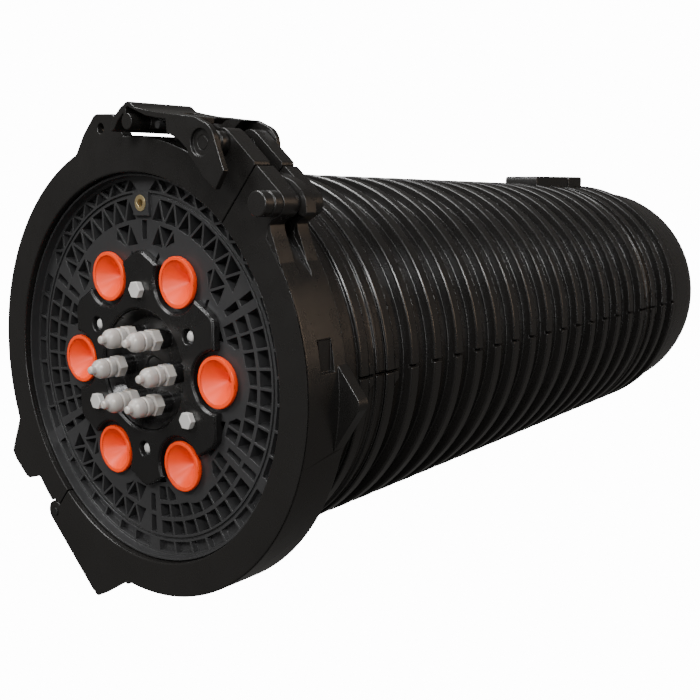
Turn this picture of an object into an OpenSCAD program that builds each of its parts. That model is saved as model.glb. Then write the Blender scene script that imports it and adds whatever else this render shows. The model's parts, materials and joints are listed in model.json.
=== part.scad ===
// Dome splice closure: a ribbed dome clamped to a six-port base by a hinged ring clamp
// with an over-centre latch. The closure's axis lies along Y and the base faces -Y.
// Depths called y are measured from the clamp's front face; datum_y moves the model so
// that its origin is on the axis, half way along the plain collar where a strap holds it.

/* [Clamp ring] */
// Outside diameter of the ring
clamp_d = 300; // [298:0.5:302]
// Inside diameter of the ring's front lip
clamp_lip_d = 255; // [254:0.5:256]
// Depth of the ring from its front face to its rear edge
clamp_depth = 35; // [34.5:0.25:36]
// Direction of the split between the two halves, from +X towards +Z
split_angle = 49.5; // [48:0.5:51]
// Gap between the ends of the two halves
split_gap = 0.8; // [0.6:0.1:1.2]
// Height of the latch ears' flat top above the closure's axis
ear_top = 172.5; // [171:0.5:174]
// Thickness of the front ears
ear_front_t = 13; // [12:0.5:13.5]
// Start and end depth of the rear ears
ear_rear_y = [22.5, 33];

/* [Latch] */
// Radius of the lever's pivot pins
pivot_r = 4; // [3.5:0.5:4.5]
// Running clearance of a pin in its bore
pin_fit = 0.05; // [0.02:0.01:0.09]
// Radius of the pin that joins the lever and the link
link_pin_r = 2.2; // [2:0.1:2.4]
// Width of the link, which swings between the ears
link_w = 8.5; // [8:0.25:8.75]

/* [Dome] */
// Outside radius of the ribs if they reached the clamp's front face
rib_top_r = 130.6; // [130:0.2:131]
// How much the dome narrows for each millimetre of length
taper = 0.0192; // [0.015:0.0002:0.02]
// Spacing of the ribs
rib_pitch = 27.7; // [27.5:0.1:28]
// Depth of the first rib's middle
rib_first_y = 77.2; // [76:0.2:78]
// Number of ribs
rib_count = 20; // [16:20]
// Width of a rib
rib_w = 9.4; // [9:0.2:10]
// Height of a rib above the shell
rib_h = 7.4; // [6:0.2:8]
// Thickness of the shell
wall = 4.5; // [3.5:0.25:5]
// Depth at which the closed end begins to round over
cap_y = 660; // [650:670]
// Depth of the dome's closed end
end_y = 700; // [695:705]

/* [Base] */
// Depth of the fronts of the stiffening ribs and of the pads round the ports
lattice_y = 10.5; // [9.5:0.5:11]
// Depth of the pockets' floors
pocket_y = 23; // [20:0.5:23]
// Thickness of a stiffening rib
web = 1.8; // [1.4:0.2:2.4]
// Distance of the ports from the axis
port_circle_r = 68.4; // [67:0.2:69]
// Outside radius of a port funnel's rim
port_rim_r = 16.5; // [16:0.25:17]
// Circumscribed radius of the hexagonal pressure plate
plate_r = 79.5; // [78:0.5:80]
// Depth of the pressure plate's front
plate_y = 4.5; // [4:0.25:5]

/* [Organizer] */
// Number of splice trays
tray_count = 6; // [6]
// Length, width and thickness of a splice tray
tray_size = [128, 230, 9];

/* [Hidden] */
round_fn = 96;
small_fn = 32;

collar_r = 126.5;
collar_end_y = rib_first_y - rib_w / 2;
datum_y = (clamp_depth + collar_end_y) / 2;
clamp_r = clamp_d / 2;
lip_r = clamp_lip_d / 2;
band_in_r = 143;
flange_r = 142;
seal_r = 134;
seal_y = 20;
rear_lip_r = collar_r + 1.6;

// Latch points in the split's own frame: u along the ring towards half B, v outwards
lever_uv = [-28.5, 163.5];
catch_uv = [24.5, 164.5];
link_uv = [-66, 146.3];
roll_uv = [-89.7, 130.2];
hinge_v = 152.4;
knuckle_r = 8;
knuckle_y = [9, 26];
hinge_pin_r = 3;
ear_hole_xz = [-27.5, 155.1];
ear_hole_r = 3.25;
fitting_circle_r = 24.5;
hub_r = 40;
hub_y = 15;
nut_y = [0.4, 7];
fastener_circle_r = 52.9;
insert_z = 108;
rib_floor_r = rib_top_r - rib_h;
last_rib_y = rib_first_y + (rib_count - 1) * rib_pitch;
cap_r = rib_floor_r - taper * (last_rib_y + rib_w / 2);
// Pairs of neighbouring ribs with a raised, grooved seat for a mounting strap between them
strap_pairs = [0, rib_count - 4];

function top_r(y) = rib_top_r - taper * y;
function floor_r(y) = rib_floor_r - taper * y;
function rib_y(i) = rib_first_y + i * rib_pitch;
function polar(r, a) = [r * cos(a), r * sin(a)];
function arc(c, r, a0, a1, n = 8) =
    [for (i = [0 : n]) c + polar(r, a0 + (a1 - a0) * i / n)];
function is_strap_pair(i) = len([for (p = strap_pairs) if (p == i) p]) > 0;

// Turns a [radius, depth] outline about the closure's axis
module revolve(points) {
    translate([0, -datum_y, 0]) rotate([-90, 0, 0])
        rotate_extrude($fn = round_fn) polygon(points);
}

// Extrudes an outline drawn in the X-Z plane from depth y0 to depth y1
module slab(y0, y1) {
    translate([0, y1 - datum_y, 0]) rotate([90, 0, 0]) linear_extrude(y1 - y0) children();
}

// A round bar along Y whose axis passes through [x, z]
module bar(xz, r, y0, y1, fn = small_fn) {
    translate([xz[0], y1 - datum_y, xz[1]]) rotate([90, 0, 0]) cylinder(r = r, h = y1 - y0, $fn = fn);
}

// A turned piece along Y whose axis passes through [x, z], from a [radius, depth] outline
module turned(xz, points, fn = small_fn) {
    translate([xz[0], -datum_y, xz[1]]) rotate([-90, 0, 0])
        rotate_extrude($fn = fn) polygon(points);
}

// A block between two corners given as [x, depth, z]
module block(low, high) {
    translate([low[0], low[1] - datum_y, low[2]]) cube(high - low);
}

function at_split(uv) = [
    uv[0] * sin(split_angle) + uv[1] * cos(split_angle),
    uv[1] * sin(split_angle) - uv[0] * cos(split_angle)];
function at_hinge() = -[hinge_v * cos(split_angle), hinge_v * sin(split_angle)];

// Draws in the split's frame, with u along X and v along Y
module split_frame() {
    rotate(split_angle - 90) children();
}

// ---- Dome ----

// One rib's part of the outline, with its two edges broken. The collar stands before the
// first rib and a strap seat between the two ribs of a strap pair, so neither needs a foot there.
function rib_outline(i, edge = 0.7) = let (y = rib_y(i)) concat(
    i == 0 || is_strap_pair(i - 1) ? [] : [[floor_r(y - rib_w / 2), y - rib_w / 2]],
    [[top_r(y - rib_w / 2) - edge, y - rib_w / 2],
        [top_r(y - rib_w / 2 + edge), y - rib_w / 2 + edge],
        [top_r(y + rib_w / 2 - edge), y + rib_w / 2 - edge],
        [top_r(y + rib_w / 2) - edge, y + rib_w / 2]],
    is_strap_pair(i) ? [] : [[floor_r(y + rib_w / 2), y + rib_w / 2]]);

// The raised seat between the two ribs of a strap pair, with a narrow ridge in its middle
function seat_outline(y, drop = 2.4, ridge = 1.8) = [
    [top_r(y) - drop, y - (rib_pitch - rib_w) / 2],
    [top_r(y) - drop, y - ridge],
    [top_r(y) - 0.4, y - ridge + 0.5],
    [top_r(y) - 0.4, y + ridge - 0.5],
    [top_r(y) - drop, y + ridge],
    [top_r(y) - drop, y + (rib_pitch - rib_w) / 2]];

function cap_outline(r, y0, y1, round_r, n = 8) = [
    for (i = [0 : n]) [
        r - round_r * (1 - cos(90 * i / n)),
        y0 + (y1 - y0) * sin(90 * i / n)]];

module dome_ribs_body() {
    outer = concat(
        [[0, seal_y + 0.4], [flange_r, seal_y + 0.4], [flange_r, 24.5], [collar_r + 4, 30.5],
            [collar_r, 31.5], [collar_r, collar_end_y]],
        [for (i = [0 : rib_count - 1]) each concat(
            rib_outline(i),
            is_strap_pair(i) ? seat_outline(rib_y(i) + rib_pitch / 2) : [])],
        cap_outline(cap_r, cap_y, end_y, 32),
        [[0, end_y]]);
    revolve(outer);
}

module dome() {
    shell_in = collar_r - wall;
    cap_in = cap_r - wall;
    color([0.13, 0.13, 0.13]) difference() {
        union() {
            dome_ribs_body();
            seam_flares();
            hanger_block();
        }
        revolve(concat(
            [[0, seal_y], [shell_in, seal_y], [shell_in, collar_end_y + 4],
                [floor_r(collar_end_y + 12) - wall, collar_end_y + 12]],
            cap_outline(cap_in, cap_y - wall, end_y - wall, 30),
            [[0, end_y - wall]]));
        seam_slits();
    }
}

// The mould's parting line: a shallow slit that crosses every rib on both sides
module seam_slits(width = 1.6, depth = 2.2) {
    length = rib_count * rib_pitch;
    for (side = [-1, 1])
        translate([side * top_r(rib_y(0)), rib_y(0) - datum_y - rib_w, 0])
            rotate([0, 0, side * atan(taper)])
                translate([-depth, 0, -width / 2]) cube([2 * depth, length, width]);
}

// Small webs that widen the ribs of the strap pairs where they meet the parting line
module seam_flares(reach = 5, half = 6, run = 10) {
    for (side = [-1, 1]) for (p = strap_pairs) for (i = [p, p + 1]) {
        y = rib_y(i) + rib_w / 2 - 1 - datum_y;
        r0 = floor_r(rib_y(i)) - 1;
        r1 = top_r(rib_y(i) + rib_w) - 0.6;
        translate([side > 0 ? r0 : -r1, y, 0]) rotate([0, 90, 0])
            linear_extrude(r1 - r0) polygon([
                [-run, 0], [-half, reach + 1], [half, reach + 1], [run, 0]]);
    }
}

// Moulded block on top of the dome near its closed end, in two lengths with a gap between
module hanger_block(width = 36, rise = 8.2) {
    y0 = 488;
    gap_y = 555;
    y1 = 585;
    z0 = floor_r(y1) - 2;
    z1 = top_r(gap_y) + rise;
    for (span = [[y0, gap_y - 0.7], [gap_y + 0.7, y1]])
        translate([-width / 2, 0, 0]) rotate([90, 0, 90]) linear_extrude(width)
            polygon(concat(
                [[span[0] - datum_y, z0]],
                arc([span[0] + 3 - datum_y, z1 - 3], 3, 180, 90, 4),
                arc([span[1] - 3 - datum_y, z1 - 3], 3, 90, 0, 4),
                [[span[1] - datum_y, z0]]));
}

// ---- Base ----

// A pocket between two radii and two angles, drawn in by half a rib on every side
function quad_cell(r0, r1, a0, a1) = [
    polar(r0 + web / 2, a0 + web / 2 / r0 * 57.3), polar(r1 - web / 2, a0 + web / 2 / r1 * 57.3),
    polar(r1 - web / 2, a1 - web / 2 / r1 * 57.3), polar(r0 + web / 2, a1 - web / 2 / r0 * 57.3)];

// A triangle drawn in by half a rib, by scaling it about its in-centre
function inset_triangle(p) = let (
    a = norm(p[1] - p[2]), b = norm(p[2] - p[0]), c = norm(p[0] - p[1]),
    centre = (a * p[0] + b * p[1] + c * p[2]) / (a + b + c),
    s = (a + b + c) / 2,
    in_r = sqrt((s - a) * (s - b) * (s - c) / s),
    k = 1 - web / 2 / in_r)
    [for (q = p) centre + k * (q - centre)];

module quad_row(r0, r1, a0, a1, count) {
    step = (a1 - a0) / count;
    for (i = [0 : count - 1]) polygon(quad_cell(r0, r1, a0 + i * step, a0 + (i + 1) * step));
}

// A row of triangles that point in and out by turns
module truss_row(r0, r1, a0, a1, count) {
    step = (a1 - a0) / count;
    for (i = [0 : count - 1]) {
        a = a0 + i * step;
        polygon(inset_triangle([polar(r0, a), polar(r1, a + step / 2), polar(r0, a + step)]));
        if (i < count - 1) polygon(inset_triangle([
            polar(r1, a + step / 2), polar(r1, a + 1.5 * step), polar(r0, a + step)]));
    }
}

sector_in = 26;

// Square cells for three sectors and triangular ones for the other three
module sector_cells(s) {
    a = 60 * s;
    squares = s == 0 || s == 3 || s == 5;
    if (squares) {
        quad_row(66, 77, a - sector_in, a - 15, 1);
        quad_row(66, 77, a + 15, a + sector_in, 1);
        quad_row(78, 89, a - sector_in, a - 14, 2);
        quad_row(78, 89, a + 14, a + sector_in, 2);
        quad_row(90, 100.5, a - sector_in, a + sector_in, 8);
        quad_row(101.5, 112.5, a - sector_in, a + sector_in, 8);
    } else {
        truss_row(66, 80, a - sector_in, a - 14, 1);
        truss_row(66, 80, a + 14, a + sector_in, 1);
        truss_row(81, 96, a - sector_in, a - 8, 2);
        truss_row(81, 96, a + 8, a + sector_in, 2);
        truss_row(97, 112.5, a - sector_in, a + sector_in, 7);
    }
    // The channel between the double walls that part the sectors
    quad_row(84, 98, a + 28, a + 32, 1);
    quad_row(99, 112.5, a + 28.2, a + 31.8, 1);
}

module outer_cells(s) {
    a = 60 * s;
    if (s == 1 || s == 2) truss_row(115.5, 124.5, a - 28, a + 28, 7);
    else quad_row(115.5, 124.5, a - 28, a + 28, 7);
}

module base() {
    color([0.24, 0.24, 0.25]) difference() {
        union() {
            difference() {
                revolve([[0, lattice_y], [125.2, lattice_y], [125.2, 4], [126.6, 4],
                    [126.6, 6.8], [flange_r, 6.8], [flange_r, seal_y], [121, seal_y],
                    [121, 27], [0, 27]]);
                slab(lattice_y - 1, pocket_y) for (s = [0 : 5]) sector_cells(s);
                slab(lattice_y - 1, 15) for (s = [0 : 5]) outer_cells(s);
                revolve([[113.2, lattice_y - 1], [113.2, 12], [114.6, 12], [114.6, lattice_y - 1]]);
            }
            for (s = [0 : 5]) bar(polar(port_circle_r, 60 * s), 25, lattice_y, 26, 64);
            // Boss of the threaded insert
            slab(8, 26) translate([-7.5, insert_z - 8]) square([15, 15]);
        }
        // Groove of the dome seal
        revolve([[seal_r - 3, 15.9], [seal_r - 3, seal_y + 1], [seal_r + 3, seal_y + 1],
            [seal_r + 3, 15.9]]);
        for (s = [0 : 5]) bar(polar(port_circle_r, 60 * s), 12.2, lattice_y - 1, 28, 48);
        for (s = [0 : 2]) bar(polar(fastener_circle_r, 90 + 120 * s), 3.3, 5, 28);
        for (s = [0 : 2]) bar(polar(fastener_circle_r, 30 + 120 * s), 1.8, 5, 20);
        bar([0, 0], hub_r + 1.2, 5, hub_y + 3, 64);
        bar([0, insert_z], 4.2, 7, 21);
    }
}

// A hexagon with rounded corners that points along +Z
module rounded_hexagon(r, corner) {
    polygon([for (s = [0 : 5]) each arc(
        polar(r - corner / cos(30), 90 + 60 * s), corner, 60 + 60 * s, 120 + 60 * s, 4)]);
}

module plate_outline(inset = 0) {
    difference() {
        rounded_hexagon(plate_r - inset, 9);
        for (s = [0 : 5]) translate(polar(port_circle_r, 60 * s))
            circle(r = 19.6 + inset, $fn = 48);
        circle(r = hub_r + inset, $fn = 64);
    }
}

module pressure_plate() {
    color([0.1, 0.1, 0.1]) difference() {
        union() {
            slab(plate_y, plate_y + 1) plate_outline(1);
            slab(plate_y + 1, lattice_y) plate_outline();
        }
        for (s = [0 : 2]) bar(polar(fastener_circle_r, 90 + 120 * s), 3.3, plate_y - 1, lattice_y + 1);
        for (s = [0 : 2]) {
            bar(polar(fastener_circle_r, 30 + 120 * s), 5.2, plate_y - 1, plate_y + 4);
            bar(polar(fastener_circle_r, 30 + 120 * s), 1.8, plate_y, lattice_y + 1);
        }
    }
}

// Dished plate in the middle, which carries the six blanked fittings
module hub_plate() {
    color([0.09, 0.09, 0.1]) difference() {
        union() {
            turned([0, 0], [[0, hub_y], [33.6, hub_y], [34.8, hub_y - 1.5], [38, 8.5],
                [hub_r - 0.4, 6.6], [hub_r - 0.4, 10.8], [hub_r + 0.8, 11], [hub_r + 0.8, 17.8],
                [0, 17.8]], 64);
            for (s = [0 : 5]) bar(polar(fitting_circle_r, 60 * s), 6.8, nut_y[1], hub_y + 1);
        }
        for (s = [0 : 5]) bar(polar(fitting_circle_r, 60 * s), 4.1, nut_y[1] - 1, 19);
        turned([0, 0], [[0, 14], [9, 14], [7.5, 16], [0, 16]]);
    }
}

// Funnel of one cable port: a stepped rim, a cone and the sealing tube behind it
module port_funnels() {
    rim_y = 6;
    color([0.94, 0.33, 0.12]) for (s = [0 : 5])
        turned(polar(port_circle_r, 60 * s), [
            [1.6, 30], [1.6, 18.5], [2.6, 17.2], [12.6, 7.8], [13.4, 7.2], [13.9, 6.6],
            [13.9, rim_y], [port_rim_r - 0.5, rim_y], [port_rim_r, rim_y + 0.5],
            [port_rim_r, 8.6], [15.2, 9.4], [15.2, lattice_y], [12, lattice_y], [12, 28.5],
            [8, 30]], 64);
}

// ---- Fasteners and fittings ----

module plate_bolts() {
    head_r = 10 / 2 / cos(30);
    color([0.75, 0.75, 0.74]) for (s = [0 : 2]) {
        p = polar(fastener_circle_r, 90 + 120 * s);
        bar(p, head_r, 0.2, plate_y, 6);
        bar(p, 3, plate_y, 60);
    }
}

module plate_screws() {
    color([0.82, 0.82, 0.82]) for (s = [0 : 2])
        turned(polar(fastener_circle_r, 30 + 120 * s), [
            [0, 6], [1.6, 6.1], [2.8, 6.6], [3.5, 7.6], [3.5, 8.5], [1.75, 8.5], [1.75, 19.5],
            [0, 19.5]]);
}

module fitting_nuts() {
    nut_r = 13 / 2 / cos(30);
    color([0.8, 0.79, 0.77]) for (s = [0 : 5]) {
        p = polar(fitting_circle_r, 60 * s);
        difference() {
            bar(p, nut_r, nut_y[0], nut_y[1], 6);
            bar(p, 4.05, nut_y[0] - 1, nut_y[1] + 1);
        }
    }
}

// Blanking body of a fitting: a tube with two beads, a round shoulder and a closed nipple
module fitting_bodies() {
    color([0.84, 0.82, 0.8]) for (s = [0 : 5])
        turned(polar(fitting_circle_r, 60 * s), [
            [0, 17.7], [4, 17.7], [4, nut_y[0]], [5.6, nut_y[0]], [5.6, -0.8], [6.4, -1.2],
            [6.6, -5.4], [6.1, -5.8], [6.1, -6.6], [6.7, -7], [6.6, -10.2], [6, -12.2],
            [4.8, -13.8], [2.8, -14.8], [2.8, -17.6], [2.2, -18.7], [0, -19]]);
}

module threaded_insert() {
    color([0.83, 0.72, 0.44])
        turned([0, insert_z], [[2.6, 7.6], [5.2, 7.6], [5.2, 8], [4.15, 8], [4.15, 20],
            [2.6, 20]]);
}

module dome_seal() {
    color([0.06, 0.06, 0.06]) translate([0, 18.1 - datum_y, 0]) rotate([-90, 0, 0])
        rotate_extrude($fn = round_fn) translate([seal_r, 0]) circle(r = 1.9, $fn = 20);
}

// ---- Gel seal and its rear plate ----

module gel_block() {
    color([0.35, 0.4, 0.5]) difference() {
        revolve([[0, 27.2], [112, 27.2], [115, 30], [115, 44], [112, 47], [0, 47]]);
        for (s = [0 : 2]) bar(polar(fastener_circle_r, 90 + 120 * s), 3.3, 26, 50);
        for (s = [0 : 5]) {
            bar(polar(port_circle_r, 60 * s), 12.5, 26, 30.5);
            bar(polar(port_circle_r, 60 * s), 2.4, 30, 50);
        }
    }
}

module rear_plate() {
    color([0.16, 0.16, 0.17]) difference() {
        union() {
            revolve([[0, 47.2], [110, 47.2], [110, 52], [0, 52]]);
            revolve([[30, 52], [34, 52], [34, 56], [30, 56]]);
            for (s = [0 : 2]) bar(polar(fastener_circle_r, 90 + 120 * s), 9, 50, 55);
        }
        for (s = [0 : 2]) bar(polar(fastener_circle_r, 90 + 120 * s), 3.2, 46, 57);
        for (s = [0 : 5]) bar(polar(port_circle_r, 60 * s), 12.5, 46, 57, 48);
        bar([0, 0], 26, 46, 57, 48);
    }
}

module tie_nuts() {
    color([0.72, 0.72, 0.7]) for (s = [0 : 2]) {
        p = polar(fastener_circle_r, 90 + 120 * s);
        difference() {
            bar(p, 10 / 2 / cos(30), 55, 59.8, 6);
            bar(p, 3.05, 54, 61);
        }
    }
}

// ---- Organizer ----

rail_x = 72;
rail_z = [-58, -26];
rail_y = [52, 560];

module organizer_rails() {
    color([0.68, 0.69, 0.7]) difference() {
        union() {
            for (side = [-1, 1]) block(
                [side * rail_x - 1.5, rail_y[0], rail_z[0]], [side * rail_x + 1.5, rail_y[1], rail_z[1]]);
            block([-rail_x, rail_y[0], rail_z[0]], [rail_x, rail_y[0] + 3, -40]);
            block([-rail_x, rail_y[1] - 3, rail_z[0]], [rail_x, rail_y[1], rail_z[1]]);
        }
        // Lightening slots along both rails
        for (i = [0 : 6]) translate([-rail_x - 5, 100 + 64 * i - datum_y, -42]) rotate([0, 90, 0])
            linear_extrude(2 * rail_x + 10) polygon(concat(
                arc([0, 0], 6, 180, 360, 8), arc([0, 34], 6, 0, 180, 8)));
    }
}

module slack_basket() {
    low = [-68, 110, -56];
    high = [68, 470, -34];
    color([0.2, 0.2, 0.21]) difference() {
        block(low, high);
        block(low + [3, 3, 3], high + [-3, -3, 1]);
        block([-14, 108, -50], [14, 114, -30]);
    }
}

module tray_carrier() {
    color([0.2, 0.2, 0.21]) difference() {
        union() {
            block([-68, 474, -58], [68, 540, -46]);
            for (side = [-1, 1]) translate([side * 64 - (side > 0 ? 0 : 4), 0, 0])
                rotate([90, 0, 90]) linear_extrude(4) polygon([
                    [474 - datum_y, -50], [540 - datum_y, -50], [552 - datum_y, 8],
                    [530 - datum_y, 52], [494 - datum_y, 52], [474 - datum_y, 0]]);
        }
        for (i = [1 : tray_count]) translate([-80, tray_hinge(i)[0] - datum_y, tray_hinge(i)[1]])
            rotate([0, 90, 0]) cylinder(r = 1.85, h = 160, $fn = small_fn);
    }
}

tray_step = [5.5, 12];
function tray_hinge(i) = [500 + tray_step[0] * i, -36 + tray_step[1] * i];

// A splice tray: a shallow dish with two winding drums and a row of splice holders
module tray(i) {
    w = tray_size[0] - 4;
    l = tray_size[1];
    t = tray_size[2];
    hinge = tray_hinge(i);
    y1 = hinge[0] - 6;
    y0 = y1 - l;
    z0 = hinge[1] - t / 2;
    color([0.86, 0.87, 0.86]) difference() {
        union() {
            difference() {
                slab_xy(w, y0, y1, z0, t, 18);
                slab_xy(w - 4, y0 + 2, y1 - 2, z0 + 1.6, t, 16);
            }
            for (side = [-1, 1]) translate([0, (y0 + y1) / 2 + side * 62 - datum_y, z0]) difference() {
                cylinder(r = 24, h = t - 1, $fn = 48);
                translate([0, 0, 1.6]) cylinder(r = 21.5, h = t, $fn = 48);
            }
            for (k = [-4 : 4]) block(
                [k * 5 - 0.8, (y0 + y1) / 2 - 22, z0], [k * 5 + 0.8, (y0 + y1) / 2 + 22, z0 + t - 3]);
            for (side = [-1, 1]) block([side * 40 - 9, y1 - 3, z0 + 1], [side * 40 + 9, hinge[0] + 1, z0 + t - 1]);
            for (side = [-1, 1]) translate([side * 40 - 9, hinge[0] - datum_y, hinge[1]])
                rotate([0, 90, 0]) cylinder(r = 3.6, h = 18, $fn = small_fn);
        }
        translate([-80, hinge[0] - datum_y, hinge[1]]) rotate([0, 90, 0])
            cylinder(r = 1.85, h = 160, $fn = small_fn);
    }
}

// A rounded plate lying flat, w wide about the axis plane and from depth y0 to y1
module slab_xy(w, y0, y1, z0, t, r) {
    translate([0, 0, z0]) linear_extrude(t) polygon(concat(
        arc([w / 2 - r, y0 + r - datum_y], r, -90, 0, 6), arc([w / 2 - r, y1 - r - datum_y], r, 0, 90, 6),
        arc([r - w / 2, y1 - r - datum_y], r, 90, 180, 6), arc([r - w / 2, y0 + r - datum_y], r, 180, 270, 6)));
}

module tray_pins() {
    color([0.75, 0.75, 0.76]) for (i = [1 : tray_count])
        translate([-70, tray_hinge(i)[0] - datum_y, tray_hinge(i)[1]]) rotate([0, 90, 0])
            cylinder(r = 1.8, h = 140, $fn = small_fn);
}

// Woven strap that holds the stack of trays down on the basket
module tray_strap() {
    y0 = 372;
    y1 = 392;
    top_z = tray_hinge(tray_count)[1] + tray_size[2] / 2 + 0.4;
    color([0.1, 0.1, 0.11]) difference() {
        block([-71.9 + 1.6, y0, -57.6], [71.9 - 1.6, y1, top_z + 1.4]);
        block([-68.6, y0 - 1, -56.2], [68.6, y1 + 1, top_z]);
    }
}

// ---- Ring clamp ----

module ring_body() {
    revolve([
        [lip_r, 0.6], [lip_r + 0.6, 0], [clamp_r - 0.8, 0], [clamp_r, 0.8],
        [clamp_r, clamp_depth - 0.8], [clamp_r - 0.8, clamp_depth], [rear_lip_r, clamp_depth],
        [rear_lip_r, 31.7], [collar_r + 4.3, 30.9], [flange_r + 1, 24.8], [flange_r + 1, 6.2],
        [lip_r, 6.2]]);
}

// Half A lies on the counter-clockwise side of the split, half B on the other
module half_plane(side) {
    rotate(split_angle) translate([-250, side > 0 ? split_gap / 2 : -250 - split_gap / 2])
        square([500, 250]);
}

// The latch ear of half A, round about the lever's pivot
module ear_a_outline() {
    split_frame() polygon(concat(
        [[-split_gap / 2, 145], [-split_gap / 2, ear_top - 1.5], [-split_gap / 2 - 1.5, ear_top]],
        arc(lever_uv, ear_top - lever_uv[1], 90, 215, 8), [[-44, 145]]));
}

// The latch ear of half B: a flat top, a round tip and a hollow neck below it
module ear_b_outline() {
    split_frame() polygon(concat(
        [[split_gap / 2, 145], [split_gap / 2, ear_top - 1.5], [split_gap / 2 + 1.5, ear_top]],
        arc(catch_uv, ear_top - catch_uv[1], 90, -20, 8),
        arc([37.5, 153.5], 8.4, 152, 232, 5), [[30, 140]]));
}

module stop_tab_outline() {
    polygon([[-139, -50], [-149.5, -74], [-151.5, -79], [-148, -84.5], [-135.3, -95.4],
        [-131, -96.8], [-116.6, -92.6], [-110, -86]]);
}

module eye_outline() {
    polygon(concat([[-56, 138], [-46.4, 151.6]],
        arc([-31, 158], 6.4, 130, 90, 3), arc([-17.5, 157.5], 6.4, 80, 30, 3),
        [[-4.8, 150.3], [-10, 140]]));
}

module clamp_half_a() {
    hinge = at_hinge();
    color([0.12, 0.12, 0.12]) difference() {
        union() {
            intersection() {
                ring_body();
                slab(-1, clamp_depth + 1) half_plane(1);
            }
            difference() {
                union() {
                    slab(0, ear_front_t) ear_a_outline();
                    slab(ear_rear_y[0], ear_rear_y[1]) ear_a_outline();
                    slab(0, 8) eye_outline();
                    slab(0, ear_front_t) stop_tab_outline();
                }
                bar([0, 0], band_in_r + 2, -1, clamp_depth + 1, round_fn);
            }
            bar(hinge, knuckle_r, knuckle_y[0] + 0.3, knuckle_y[1] - 0.3, 48);
        }
        for (span = [[-1, knuckle_y[0] + 0.3], [knuckle_y[1] - 0.3, clamp_depth + 1]])
            bar(hinge, knuckle_r + 0.6, span[0], span[1], 48);
        bar(hinge, hinge_pin_r + pin_fit, -1, clamp_depth + 1);
        bar(at_split(lever_uv), pivot_r + pin_fit, -1, clamp_depth + 1);
        bar(ear_hole_xz, ear_hole_r, -1, 9);
        // The knuckle must not reach in over the dome's flange
        bar([0, 0], flange_r + 1, 6.2, 24.8, round_fn);
    }
}

// Foot plate beside the hinge on half B
module foot_outline() {
    hinge = at_hinge();
    polygon(concat(
        [[-88, -112], [hinge[0] - 6.5, hinge[1] - 5]],
        [[-57.6, -165.6]], arc([-52.5, -164.5], 3.8, 200, 300, 4),
        [[-42.5, -162.9], [-20.5, -149.4], [-20, -140]]));
}

// The strap lug on half B's outer side: a triangle with a round tip
module lug_outline() {
    polygon(concat([[140, 25], [147.8, 19]], arc([158.5, -4.5], 6.5, 42, -48, 6), [[145, -36], [138, -40]]));
}

module clamp_half_b() {
    hinge = at_hinge();
    color([0.12, 0.12, 0.12]) difference() {
        union() {
            intersection() {
                ring_body();
                slab(-1, clamp_depth + 1) half_plane(-1);
            }
            difference() {
                union() {
                    slab(0, ear_front_t) ear_b_outline();
                    slab(ear_rear_y[0], ear_rear_y[1]) ear_b_outline();
                    slab(0, knuckle_y[0]) foot_outline();
                    slab(knuckle_y[1], clamp_depth) foot_outline();
                    slab(26.5, clamp_depth) lug_outline();
                }
                bar([0, 0], band_in_r + 2, -1, clamp_depth + 1, round_fn);
            }
            bar(hinge, knuckle_r, 0, knuckle_y[0], 48);
            bar(hinge, knuckle_r, knuckle_y[1], clamp_depth, 48);
        }
        bar(hinge, knuckle_r + 0.6, knuckle_y[0], knuckle_y[1], 48);
        bar(hinge, hinge_pin_r + pin_fit, -1, clamp_depth + 1);
        bar(at_split(catch_uv), pivot_r, -1, clamp_depth + 1);
        bar([0, 0], flange_r + 1, 6.2, 24.8, round_fn);
        // Run-out of the link's slot, and the window in the outer band
        slab(ear_front_t, ear_rear_y[0]) polygon([polar(150.6, 25.5), polar(146, 36),
            polar(146, 44), polar(156, 44), polar(156, 25.5)]);
        slab(12, 23.5) polygon([[146.2, 14], [152, 14], [152, 33], [146.2, 33]]);
    }
}

module hinge_pin() {
    hinge = at_hinge();
    color([0.3, 0.3, 0.31]) union() {
        bar(hinge, hinge_pin_r, -0.6, clamp_depth + 0.4);
        bar(hinge, hinge_pin_r + 0.8, clamp_depth + 0.4, clamp_depth + 1.8);
    }
}

// ---- Latch ----

cheek_y = [-16.5, -12.5];
lever_y = [-13.5, 35];
rear_cheek_y = [33.6, 37.2];
slot_y = [12.2, 24];
hub_out_r = 11.7;

// Side view of the handle, from the free end's lip to the hub
module handle_outline() {
    split_frame() polygon(concat(
        [[-62, 157.8], [-71, 151.6], [-81, 145.6], [-90, 140.6]],
        arc([-94, 135.2], 5.2, 80, 190, 6), [[-95.2, 126.6], [-91, 124.4], [-86, 128.2],
        [-76, 136.4], [-66, 141.9], [-54, 149.8]],
        [[-44, 156.5], [-42, 171]]));
}

// The thin top skin of the handle, which bridges the open channel
module skin_outline() {
    split_frame() polygon(concat(
        [[-41, 171.6], [-62, 157.8], [-71, 151.6], [-81, 145.6], [-90, 140.6]],
        arc([-94, 135.2], 5.2, 80, 190, 6),
        [[-96.4, 130.6], [-93.6, 131.6]], arc([-94, 135.2], 2.2, 190, 80, 3),
        [[-79, 142.9], [-69, 148.9], [-60, 155], [-39, 168.6]]));
}

// The arm from the handle to the hub on one side, and the tail beyond the hub in front
module cheek_outline(tail) {
    union() {
        split_frame() translate(lever_uv) circle(r = hub_out_r, $fn = 48);
        split_frame() polygon([[-62, 157.8], [-41, 171.6], [-33, 174.2], [-21, 155],
            [-36, 153.6], [-44, 153.2], [-54, 149.8]]);
        if (tail) split_frame() polygon([[-28, 175], [-21, 172.4], [-3.8, 163.7],
            [-2.7, 151], [-14, 150.2], [-30, 152]]);
    }
}

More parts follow.
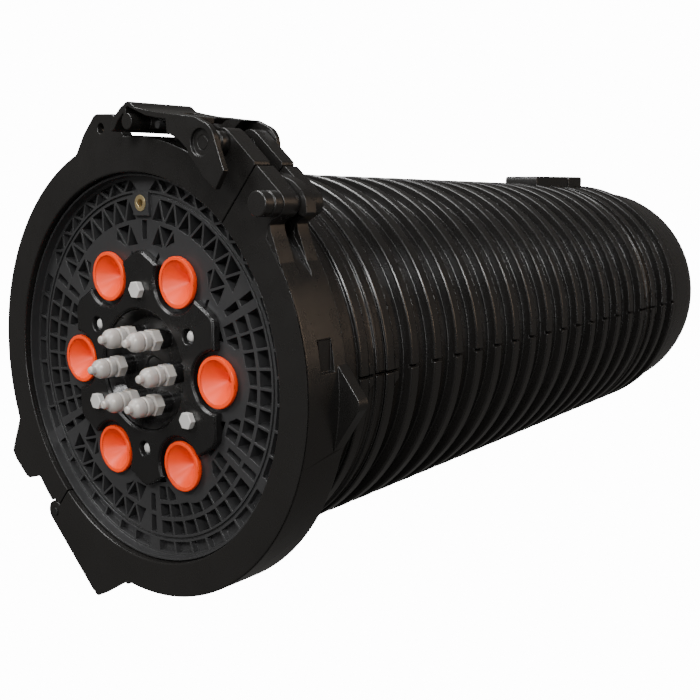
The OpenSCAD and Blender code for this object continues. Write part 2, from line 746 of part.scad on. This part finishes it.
module latch_lever() {
    color([0.13, 0.13, 0.13]) difference() {
        union() {
            slab(cheek_y[0], cheek_y[1]) cheek_outline(true);
            slab(rear_cheek_y[0], rear_cheek_y[1]) cheek_outline(false);
            slab(cheek_y[1], lever_y[1]) skin_outline();
            slab(1.5, 5) handle_outline();
            slab(slot_y[1], rear_cheek_y[1]) handle_outline();
            bar(at_split(roll_uv), 4.9, cheek_y[1] - 1, slot_y[1] + 1);
        }
        // The link's way through the handle, from the hub to past the link pin
        slab(slot_y[0], slot_y[1]) split_frame() polygon([
            [-79, 130], [-79, 160], [-30, 190], [-20, 130]]);
        // Room for the ears of half A
        slab(-0.8, rear_cheek_y[0]) split_frame() polygon([
            [-46.5, 140], [-46.5, 158.5], [-44, 168], [-36, 178], [-10, 182], [0, 140]]);
        bar(at_split(lever_uv), 7.8, cheek_y[0] - 1, cheek_y[0] + 2);
        bar(at_split(lever_uv), pivot_r, cheek_y[0], rear_cheek_y[1] + 1);
        bar(at_split(link_uv), link_pin_r, cheek_y[0], rear_cheek_y[1] - 2);
    }
}

// Two stub pins, one in each pair of cheek and ear, so that the link can pass between them
module lever_pivots() {
    p = at_split(lever_uv);
    color([0.2, 0.2, 0.2]) {
        turned(p, [[0, cheek_y[0] + 2], [pivot_r, cheek_y[0] + 2], [pivot_r, cheek_y[1]],
            [7.3, cheek_y[1]], [7.3, -7.6], [6.3, -7], [6.3, -6], [7.3, -5.4], [7.3, -0.5],
            [pivot_r, -0.5], [pivot_r, ear_front_t - 0.3], [0, ear_front_t - 0.3]]);
        bar(p, pivot_r, ear_rear_y[0] + 0.3, rear_cheek_y[1]);
    }
}

module link_pin() {
    color([0.3, 0.3, 0.31]) bar(at_split(link_uv), link_pin_r, cheek_y[1] - 1, rear_cheek_y[1] - 3);
}

// Curved link: an eye on the link pin and a hook that bears on the catch pin
module draw_link() {
    y0 = (slot_y[0] + slot_y[1] - link_w) / 2 - 0.35;
    color([0.18, 0.18, 0.18]) difference() {
        slab(y0, y0 + link_w) split_frame() union() {
            translate(link_uv) circle(r = 4.6, $fn = 32);
            polygon([[-68, 150.4], [-64, 141.8], [-48, 148.2], [-28, 153.4], [-8, 156.6],
                [12, 158.4], [15.6, 160.6], [18.2, 164.5], [20.2, 168.7], [23, 170.2],
                [26.4, 170], [29.2, 168], [33, 163.6], [36.8, 165.2], [37.2, 168.4],
                [32, 173.4], [26, 175.6], [18, 175.2], [8, 171.4], [-2, 166],
                [-12, 162.4], [-28, 158.6], [-48, 154.4]]);
        }
        bar(at_split(link_uv), link_pin_r + pin_fit, y0 - 1, y0 + link_w + 1);
    }
}

module catch_pin() {
    color([0.2, 0.2, 0.2]) turned(at_split(catch_uv), [
        [0, -13.8], [6.7, -13.8], [7.3, -13.2], [7.3, -7.8], [6.3, -7.2], [6.3, -6.2],
        [7.3, -5.6], [7.3, 0], [pivot_r, 0], [pivot_r, ear_rear_y[1]], [0, ear_rear_y[1]]]);
}

dome();
base();
pressure_plate();
hub_plate();
port_funnels();
plate_bolts();
plate_screws();
fitting_nuts();
fitting_bodies();
threaded_insert();
dome_seal();
gel_block();
rear_plate();
tie_nuts();
organizer_rails();
slack_basket();
tray_carrier();
tray(1);  // tray_1
tray(2);  // tray_2
tray(3);  // tray_3
tray(4);  // tray_4
tray(5);  // tray_5
tray(6);  // tray_6
tray_pins();
tray_strap();
clamp_half_a();
clamp_half_b();
hinge_pin();
latch_lever();
lever_pivots();
link_pin();
draw_link();
catch_pin();
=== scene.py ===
import bmesh
import bpy
import json
import math
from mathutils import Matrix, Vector


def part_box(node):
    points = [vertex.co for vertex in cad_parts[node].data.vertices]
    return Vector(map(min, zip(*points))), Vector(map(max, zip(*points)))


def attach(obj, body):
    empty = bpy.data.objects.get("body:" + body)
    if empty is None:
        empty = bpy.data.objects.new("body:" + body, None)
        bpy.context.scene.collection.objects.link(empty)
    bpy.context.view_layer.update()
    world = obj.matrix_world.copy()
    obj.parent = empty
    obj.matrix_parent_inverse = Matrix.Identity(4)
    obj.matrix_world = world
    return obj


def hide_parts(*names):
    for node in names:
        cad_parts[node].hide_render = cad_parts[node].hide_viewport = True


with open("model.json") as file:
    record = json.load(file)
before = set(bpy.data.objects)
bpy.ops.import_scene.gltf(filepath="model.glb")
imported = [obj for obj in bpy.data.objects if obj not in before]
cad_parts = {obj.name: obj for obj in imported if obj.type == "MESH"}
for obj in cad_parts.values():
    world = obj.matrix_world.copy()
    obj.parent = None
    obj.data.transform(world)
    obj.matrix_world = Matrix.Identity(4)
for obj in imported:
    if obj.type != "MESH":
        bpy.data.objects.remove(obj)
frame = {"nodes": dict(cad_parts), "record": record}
cadNodes = frame["nodes"]
record = frame["record"]
slotOf = {s["node"]: s["material_slot"] for s in record["subparts"]}
bodyOf = {n: body for body, names in record["behaviour"]["bodies"].items() for n in names}
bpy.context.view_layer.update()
print("frame loaded:", len(cadNodes), "nodes")

mm = 0.001
scene = bpy.context.scene

# Noise scales per metre: mottle in the colour, smudges in the roughness
mottleScale, smudgeScale = 14, 90


# Noise on Object coordinates, mapped to the range from low to high
def noiseFeed(tree, coords, scale, low, high, detail=4.0):
    noise = tree.nodes.new("ShaderNodeTexNoise")
    noise.inputs["Scale"].default_value = scale
    noise.inputs["Detail"].default_value = detail
    spread = tree.nodes.new("ShaderNodeMapRange")
    spread.inputs["From Min"].default_value = 0.3
    spread.inputs["From Max"].default_value = 0.7
    spread.inputs["To Min"].default_value = low
    spread.inputs["To Max"].default_value = high
    tree.links.new(coords.outputs["Object"], noise.inputs["Vector"])
    tree.links.new(noise.outputs["Fac"], spread.inputs["Value"])
    return spread.outputs["Result"]


def surface(name, colour, rough, metal=0.0, mottle=0.12, grainScale=1500, grain=0.05,
            coat=0.0, specular=0.5, scatter=0.0):
    mat = bpy.data.materials.new(name)
    mat.use_nodes = True
    tree = mat.node_tree
    shader = tree.nodes["Principled BSDF"]
    coords = tree.nodes.new("ShaderNodeTexCoord")
    shade = tree.nodes.new("ShaderNodeMix")
    shade.data_type = "RGBA"
    shade.inputs["A"].default_value = [c * (1 - mottle) for c in colour] + [1]
    shade.inputs["B"].default_value = [min(1, c * (1 + mottle)) for c in colour] + [1]
    tree.links.new(noiseFeed(tree, coords, mottleScale, 0, 1), shade.inputs["Factor"])
    tree.links.new(shade.outputs["Result"], shader.inputs["Base Color"])
    smudges = noiseFeed(tree, coords, smudgeScale, rough * 0.88, rough * 1.12)
    tree.links.new(smudges, shader.inputs["Roughness"])
    bump = tree.nodes.new("ShaderNodeBump")
    bump.inputs["Strength"].default_value = grain
    bump.inputs["Distance"].default_value = 0.0002
    tree.links.new(noiseFeed(tree, coords, grainScale, 0, 1, 2.0), bump.inputs["Height"])
    tree.links.new(bump.outputs["Normal"], shader.inputs["Normal"])
    shader.inputs["Metallic"].default_value = metal
    shader.inputs["Coat Weight"].default_value = coat
    shader.inputs["Coat Roughness"].default_value = 0.18
    shader.inputs["Specular IOR Level"].default_value = specular
    if scatter:
        shader.inputs["Subsurface Weight"].default_value = scatter
        shader.inputs["Subsurface Radius"].default_value = (0.004, 0.003, 0.002)
        shader.inputs["Subsurface Scale"].default_value = 1.0
    return mat


looks = {
    "dome_plastic": surface("black dome plastic", (0.0105, 0.0098, 0.0092), 0.27, grain=0.015),
    "clamp_plastic": surface("black clamp plastic", (0.0098, 0.0092, 0.0086), 0.28, grain=0.02),
    "base_plastic": surface("dark grey base plastic", (0.026, 0.026, 0.0265), 0.36, grain=0.04),
    "plate_plastic": surface("black plate plastic", (0.0078, 0.0075, 0.0073), 0.28, grain=0.02),
    "orange_elastomer": surface("orange elastomer", (0.86, 0.052, 0.002), 0.40, mottle=0.05,
                                grain=0.02, specular=0.35),
    "fitting_plastic": surface("off-white fitting plastic", (0.40, 0.375, 0.35), 0.24, mottle=0.05,
                               grain=0.02, coat=0.4, scatter=0.25),
    "plated_steel": surface("zinc plated steel", (0.58, 0.57, 0.55), 0.42, metal=0.25, mottle=0.06),
    "dark_steel": surface("blackened steel", (0.05, 0.05, 0.05), 0.34, metal=0.8),
    "brass": surface("brass", (0.80, 0.63, 0.33), 0.30, metal=0.9, mottle=0.08),
    "seal_rubber": surface("seal rubber", (0.012, 0.012, 0.012), 0.6),
    "gel": surface("soft gel", (0.10, 0.14, 0.20), 0.3, scatter=0.2),
    "organizer_metal": surface("organizer aluminium", (0.62, 0.62, 0.64), 0.35, metal=1.0),
    "inner_plastic": surface("dark inner plastic", (0.035, 0.035, 0.037), 0.45),
    "tray_plastic": surface("light tray plastic", (0.66, 0.67, 0.66), 0.4, mottle=0.05),
    "strap_fabric": surface("strap webbing", (0.015, 0.015, 0.016), 0.85, grainScale=700,
                            grain=0.5),
}
for nodeName, node in cadNodes.items():
    node.data.materials.clear()
    node.data.materials.append(looks[slotOf[nodeName]])
print("materials made:", len(looks))

# Edges sharper than edgeAngle are rounded; faces within flatAngle are merged. In degrees.
edgeAngle, flatAngle = 28, 0.6
weldGap = 0.002 * mm


def placed(name, data):
    obj = bpy.data.objects.new(name, data)
    scene.collection.objects.link(obj)
    return obj


def smoothBy(mesh, degrees):
    mesh.shade_smooth()
    mesh.set_sharp_from_angle(angle=math.radians(degrees))


# The piece rides with the body of the first CAD node that it stands for
def settle(obj, replaced):
    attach(obj, bodyOf[replaced[0]])
    for nodeName in replaced:
        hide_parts(nodeName)


def roundEdges(obj, width, segments):
    bevel = obj.modifiers.new("rounded edges", "BEVEL")
    bevel.width = width
    bevel.segments = segments
    bevel.limit_method = "ANGLE"
    bevel.angle_limit = math.radians(edgeAngle)
    bevel.harden_normals = True
    return bevel


# A copy of a moulded CAD piece whose sharp edges are rounded by width
def softEdged(nodeName, width, segments):
    shell = bmesh.new()
    shell.from_mesh(cadNodes[nodeName].data)
    bmesh.ops.remove_doubles(shell, verts=shell.verts, dist=weldGap)
    bmesh.ops.dissolve_limit(shell, angle_limit=math.radians(flatAngle), verts=shell.verts,
                             edges=shell.edges)
    mesh = bpy.data.meshes.new(nodeName + "_soft")
    shell.to_mesh(mesh)
    shell.free()
    normals = mesh.attributes.get("custom_normal")
    if normals:
        mesh.attributes.remove(normals)
    smoothBy(mesh, edgeAngle)
    obj = placed(nodeName + "_soft", mesh)
    roundEdges(obj, width, segments).use_clamp_overlap = False
    mesh.materials.clear()
    mesh.materials.append(looks[slotOf[nodeName]])
    settle(obj, [nodeName])


# A closed mesh turned about Y from (radius, y) points
def turnedMesh(name, profile, steps, angle):
    ring = bmesh.new()
    rows = []
    for r, y in profile:
        if r < 1e-9:
            rows.append([ring.verts.new((0, y, 0))])
        else:
            rows.append([ring.verts.new((r * math.cos(2 * math.pi * k / steps), y,
                                         r * math.sin(2 * math.pi * k / steps)))
                         for k in range(steps)])
    for a, b in zip(rows, rows[1:]):
        for k in range(steps):
            n = (k + 1) % steps
            corners = [a[k % len(a)], a[n % len(a)], b[n % len(b)], b[k % len(b)]]
            unique = list(dict.fromkeys(corners))
            if len(unique) > 2:
                ring.faces.new(unique)
    bmesh.ops.recalc_face_normals(ring, faces=ring.faces)
    mesh = bpy.data.meshes.new(name)
    ring.to_mesh(mesh)
    ring.free()
    smoothBy(mesh, angle)
    return mesh


# The same outline with each corner but the two ends replaced by a short curve
def roundedProfile(points, r, n=4):
    out = [points[0]]
    for before, corner, after in zip(points, points[1:], points[2:]):
        c = Vector(corner)
        toBefore, toAfter = Vector(before) - c, Vector(after) - c
        cut = min(r, toBefore.length * 0.45, toAfter.length * 0.45)
        start, end = c + toBefore.normalized() * cut, c + toAfter.normalized() * cut
        for i in range(n + 1):
            t = i / n
            out.append(tuple(start * (1 - t) ** 2 + c * 2 * t * (1 - t) + end * t ** 2))
    out.append(points[-1])
    return out


# Copies a piece round the closure's axis: count, radius and start angle are inputs
def ringGroup():
    tree = bpy.data.node_groups.new("ring of pieces", "GeometryNodeTree")
    face = tree.interface
    face.new_socket("Geometry", in_out="INPUT", socket_type="NodeSocketGeometry")
    sockets = {
        "count": face.new_socket("Count", in_out="INPUT", socket_type="NodeSocketInt"),
        "radius": face.new_socket("Radius", in_out="INPUT", socket_type="NodeSocketFloat"),
        "start": face.new_socket("Start angle", in_out="INPUT", socket_type="NodeSocketFloat"),
        "look": face.new_socket("Look", in_out="INPUT", socket_type="NodeSocketMaterial"),
    }
    face.new_socket("Geometry", in_out="OUTPUT", socket_type="NodeSocketGeometry")
    make, join = tree.nodes.new, tree.links.new
    source, result = make("NodeGroupInput"), make("NodeGroupOutput")
    circle = make("GeometryNodeMeshCircle")
    turn = make("GeometryNodeTransform")
    angles = make("ShaderNodeCombineXYZ")
    angles.inputs["X"].default_value = math.pi / 2
    flip = make("ShaderNodeMath")
    flip.operation = "MULTIPLY"
    flip.inputs[1].default_value = -1
    spread = make("GeometryNodeInstanceOnPoints")
    realize = make("GeometryNodeRealizeInstances")
    paint = make("GeometryNodeSetMaterial")
    join(source.outputs["Count"], circle.inputs["Vertices"])
    join(source.outputs["Radius"], circle.inputs["Radius"])
    join(source.outputs["Start angle"], flip.inputs[0])
    join(flip.outputs[0], angles.inputs["Y"])
    join(angles.outputs[0], turn.inputs["Rotation"])
    join(circle.outputs["Mesh"], turn.inputs["Geometry"])
    join(turn.outputs["Geometry"], spread.inputs["Points"])
    join(source.outputs["Geometry"], spread.inputs["Instance"])
    join(spread.outputs["Instances"], realize.inputs["Geometry"])
    join(realize.outputs["Geometry"], paint.inputs["Geometry"])
    join(source.outputs["Look"], paint.inputs["Material"])
    join(paint.outputs["Geometry"], result.inputs["Geometry"])
    return tree, sockets


ringTree, ringSockets = ringGroup()


def ringOf(name, mesh, count, radius, startDegrees, replaced):
    obj = placed(name, mesh)
    mod = obj.modifiers.new("ring", "NODES")
    mod.node_group = ringTree
    mod[ringSockets["count"].identifier] = count
    mod[ringSockets["radius"].identifier] = radius
    mod[ringSockets["start"].identifier] = math.radians(startDegrees)
    mod[ringSockets["look"].identifier] = looks[slotOf[replaced[0]]]
    graph = bpy.context.evaluated_depsgraph_get()
    baked = bpy.data.meshes.new_from_object(obj.evaluated_get(graph))
    obj.modifiers.clear()
    obj.data = baked
    if not baked.materials:
        baked.materials.append(looks[slotOf[replaced[0]]])
    settle(obj, replaced)


# Moulded pieces with rounded edges: width of the edge and its segments
softPieces = {
    "dome": (0.9 * mm, 2), "base": (0.22 * mm, 1), "pressure_plate": (0.7 * mm, 3),
    "hub_plate": (0.4 * mm, 2), "clamp_half_a": (0.6 * mm, 2), "clamp_half_b": (0.6 * mm, 2),
    "latch_lever": (0.5 * mm, 2), "draw_link": (0.4 * mm, 2), "catch_pin": (0.35 * mm, 2),
    "lever_pivots": (0.35 * mm, 2), "threaded_insert": (0.15 * mm, 2),
    "port_funnels": (0.35 * mm, 2), "plate_bolts": (0.5 * mm, 2), "hinge_pin": (0.3 * mm, 2),
}
for nodeName, (width, segments) in softPieces.items():
    softEdged(nodeName, width, segments)
print("rounded pieces:", len(softPieces))

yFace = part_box("clamp_half_a")[0].y


# (radius, depth) in mm, with the depth from the clamp's front face
def seated(points):
    return [(r * mm, y * mm + yFace) for r, y in points]


fitting = {
    "circleR": 24.5 * mm, "count": 6, "cornerR": 0.5, "steps": 40, "edge": 50,
    "profile": [(0, 17.6), (3.9, 17.6), (3.9, 0.6), (5.6, 0.6), (5.6, -0.8), (6.5, -1.3),
                (6.6, -5.3), (6.0, -5.7), (6.0, -6.6), (6.6, -7.1), (6.5, -10.4), (5.9, -12.4),
                (4.6, -13.9), (2.8, -14.7), (2.75, -17.7), (2.0, -18.7), (0, -18.9)],
}
fittingProfile = roundedProfile(fitting["profile"], fitting["cornerR"])
fittingMesh = turnedMesh("fitting", seated(fittingProfile), fitting["steps"], fitting["edge"])
ringOf("fittingRing", fittingMesh, fitting["count"], fitting["circleR"], 0, ["fitting_bodies"])

nut = {"boreR": 4.1, "cornerR": 7.5, "front": 0.5, "back": 6.9, "chamfer": 0.9,
       "chamferDepth": 0.6, "sides": 6, "edge": 20}
nutProfile = [
    (nut["boreR"], nut["back"]), (nut["cornerR"], nut["back"]),
    (nut["cornerR"], nut["front"] + nut["chamferDepth"]),
    (nut["cornerR"] - nut["chamfer"], nut["front"]), (nut["boreR"], nut["front"]),
    (nut["boreR"], nut["back"])]
nutMesh = turnedMesh("fitting nut", seated(nutProfile), nut["sides"], nut["edge"])
ringOf("fittingNutRing", nutMesh, fitting["count"], fitting["circleR"], 0, ["fitting_nuts"])
print("fittings placed")

# Pieces that finish the clamp
splitAngle = math.radians(49.5)


# u runs along the ring from the split towards half B, v outwards, depth from the face, in mm
def fromSplit(u, v, depth):
    return ((u * math.sin(splitAngle) + v * math.cos(splitAngle)) * mm, yFace + depth * mm,
            (v * math.sin(splitAngle) - u * math.cos(splitAngle)) * mm)


def splitPrism(name, piece):
    outline = piece["outline"]
    bm = bmesh.new()
    for low, high in piece["depths"]:
        near = [bm.verts.new(fromSplit(u, v, low)) for u, v in outline]
        far = [bm.verts.new(fromSplit(u, v, high)) for u, v in outline]
        bm.faces.new(near)
        bm.faces.new(far[::-1])
        for i in range(len(outline)):
            k = (i + 1) % len(outline)
            bm.faces.new((near[i], far[i], far[k], near[k]))
    bmesh.ops.recalc_face_normals(bm, faces=bm.faces)
    mesh = bpy.data.meshes.new(name)
    bm.to_mesh(mesh)
    bm.free()
    smoothBy(mesh, edgeAngle)
    mesh.materials.append(looks[piece["slot"]])
    obj = placed(name, mesh)
    roundEdges(obj, piece["rounding"], 2)
    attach(obj, piece["body"])


# The apron's lower edge follows the ring, just outside it
ringTop = 151.4
ringArc = [(u, math.sqrt(ringTop ** 2 - u ** 2)) for u in range(-94, -45, 6)]
clampPieces = {
    "handleApron": {
        "outline": ringArc + [(-46, 155), (-54, 153), (-66, 146), (-76, 140.5), (-86, 132.5),
                              (-94, 127)],
        "depths": [(33.9, 36.9)], "rounding": 0.4 * mm,
        "body": "latch_lever", "slot": "clamp_plastic"},
    # The handle's free end turns down to just above the ring
    "handleLip": {
        "outline": [(-98.2, 138), (-100.8, 132), (-102.2, 124.5), (-101.6, 117.5), (-99, 114.8),
                    (-97.4, 117.6), (-97.8, 124), (-96.6, 131)],
        "depths": [(-12.4, 36.8)], "rounding": 0.5 * mm,
        "body": "latch_lever", "slot": "clamp_plastic"},
    "neckFillets": {
        "outline": [(29.3, 153.2), (32, 150.7), (36.8, 148.4), (43, 145.1), (49.3, 141.5),
                    (44, 141), (33, 144), (28, 149)],
        "depths": [(0.4, 12.6), (22.9, 32.6)], "rounding": 0.3 * mm,
        "body": "clamp_half_b", "slot": "clamp_plastic"},
}
for name, piece in clampPieces.items():
    splitPrism(name, piece)
print("clamp finished")

# Stage, lights and camera. The paper is seen by the camera alone.
paper = {"halfWidth": 8, "front": -6, "back": 3, "floor": -1.2, "bend": 2, "top": (5, 8),
         "glow": 14, "turn": 39.5}


def lit(name, strength):
    mat = bpy.data.materials.new(name)
    mat.use_nodes = True
    tree = mat.node_tree
    tree.nodes.clear()
    glow = tree.nodes.new("ShaderNodeEmission")
    glow.inputs["Strength"].default_value = strength
    out = tree.nodes.new("ShaderNodeOutputMaterial")
    tree.links.new(glow.outputs[0], out.inputs["Surface"])
    return mat


def studioSweep():
    bm = bmesh.new()
    back, floor, bend, half = (paper[k] for k in ("back", "floor", "bend", "halfWidth"))
    rows = [(paper["front"], floor), (back, floor)]
    for a in (math.radians(d) for d in range(15, 91, 15)):
        rows.append((back + bend * math.sin(a), floor + bend - bend * math.cos(a)))
    rows.append(paper["top"])
    lines = [[bm.verts.new((x, y, z)) for x in (-half, half)] for y, z in rows]
    for a, b in zip(lines, lines[1:]):
        bm.faces.new((a[0], a[1], b[1], b[0]))
    mesh = bpy.data.meshes.new("studio sweep")
    bm.to_mesh(mesh)
    bm.free()
    mesh.materials.append(lit("white paper", paper["glow"]))
    obj = placed("studio sweep", mesh)
    obj.rotation_euler.z = math.radians(paper["turn"])
    obj.visible_diffuse = obj.visible_glossy = obj.visible_shadow = False
    obj.visible_transmission = False


def softbox(name, place, aim, size, power, tint=(1, 1, 1)):
    data = bpy.data.lights.new(name, "AREA")
    data.shape = "RECTANGLE"
    data.size, data.size_y = size
    data.energy = power
    data.color = tint
    lamp = placed(name, data)
    lamp.location = place
    lamp.rotation_euler = (Vector(aim) - Vector(place)).to_track_quat("-Z", "Y").to_euler()


studioSweep()
softbox("key", (-0.7, -1.7, 1.3), (0, 0, 0), (0.8, 0.8), 34)
softbox("edge strip high", (-0.45, -0.45, 1.75), (0, 0.2, 0), (1.3, 0.16), 34)
softbox("edge strip low", (1.15, -1.2, 1.1), (0, 0.2, 0), (1.3, 0.16), 34)
softbox("warm side", (1.9, 1.2, 0.7), (0, 0.3, 0), (0.4, 1.2), 12, (1, 0.72, 0.5))
softbox("front", (1.0, -1.6, 0.1), (0, -0.05, 0), (0.3, 0.5), 7)
world = bpy.data.worlds.new("studio")
scene.world = world
world.use_nodes = True
world.node_tree.nodes["Background"].inputs["Color"].default_value = (1, 0.97, 0.93, 1)
world.node_tree.nodes["Background"].inputs["Strength"].default_value = 0.12

# 39.5 degrees round from the base's face and 9.4 degrees above the axis
view = {"place": (0.50998, yFace - 0.40045, 0.11872), "along": (-0.6275, 0.7614, -0.1632),
        "lens": 51.01, "sensor": 36, "nearest": 0.01}
camData = bpy.data.cameras.new("camera")
camData.lens = view["lens"]
camData.sensor_width = view["sensor"]
camData.clip_start = view["nearest"]
camera = placed("camera", camData)
camera.location = view["place"]
camera.rotation_euler = Vector(view["along"]).to_track_quat("-Z", "Y").to_euler()
scene.camera = camera
print("stage set")
